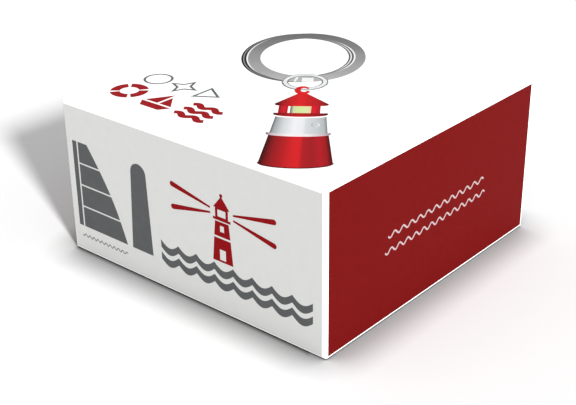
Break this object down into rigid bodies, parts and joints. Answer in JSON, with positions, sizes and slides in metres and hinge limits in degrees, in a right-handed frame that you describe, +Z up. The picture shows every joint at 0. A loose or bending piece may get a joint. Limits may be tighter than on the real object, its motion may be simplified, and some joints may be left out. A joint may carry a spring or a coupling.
{
  "type": "boxed souvenir key ring",
  "caption": "Square rigid gift box with a full-depth lift-off lid and a foam insert holding a small metal lighthouse on a split ring.",
  "frame": {"origin": "centre of the box's underside, where the tray stands on the table", "axes": "+Z up; the box's printed front faces -Y and its red side faces +X; X and Y along the box's sides"},
  "size_m": [0.08, 0.08, 0.04],
  "materials": {
    "board": "matte",
    "wrap_white": "satin",
    "lining_white": "matte",
    "wrap_dark": "satin",
    "tape": "matte",
    "foam": "matte",
    "flock": "matte",
    "red_enamel": "gloss",
    "silver_metal": "polished",
    "ring_steel": "satin",
    "screw_steel": "satin",
    "lamp_resin": "gloss",
    "ink_red": "satin",
    "ink_side_red": "satin",
    "ink_panel_grey": "satin",
    "ink_dark_grey": "satin",
    "ink_thin_grey": "satin",
    "ink_light": "satin",
    "ink_metal_grey": "satin",
    "ink_bright_red": "satin",
    "ink_silver": "satin",
    "ink_lamp": "satin"
  },
  "bodies": {
    "base": {"base_board": "board", "base_wrap": "wrap_dark", "base_bottom_sheet": "wrap_dark", "base_corner_stays": "tape", "foam_insert": "foam", "insert_card": "flock"},
    "lid": {"lid_board": "board", "lid_wrap": "wrap_white", "lid_lining": "lining_white", "lid_corner_stays": "tape"},
    "charm": {"lower_tower": "red_enamel", "base_plug": "red_enamel", "collar_ring": "silver_metal", "upper_tower": "silver_metal", "gallery_deck": "red_enamel", "lantern_lamp": "lamp_resin", "lantern_cage": "red_enamel", "roof_cap": "red_enamel", "tie_screw": "screw_steel", "screw_washer": "screw_steel"},
    "link": {"link_ring": "silver_metal"},
    "ring": {"split_ring": "ring_steel"}
  },
  "joints": [
    {"name": "lid_lift", "type": "slide", "parent": "base", "child": "lid", "axis": [0, 0, 1], "range_m": [0, 0.12]},
    {"name": "key_ring_lift", "type": "slide", "parent": "base", "child": "charm", "axis": [0, 0, 1], "range_m": [0, 0.06]},
    {"name": "link_swing", "type": "hinge", "parent": "charm", "child": "link", "pos_m": [-0.00035, 0.00035, 0.012], "axis": [0.7071, 0.7071, 0], "range_deg": [0, 12]},
    {"name": "ring_swing", "type": "hinge", "parent": "link", "child": "ring", "pos_m": [-0.00417, 0.00417, 0.01075], "axis": [0.7071, 0.7071, 0], "range_deg": [0, 28]}
  ],
  "couplings": [
    {"joint": "key_ring_lift", "follows": "lid_lift", "ratio": 0.5}
  ]
}
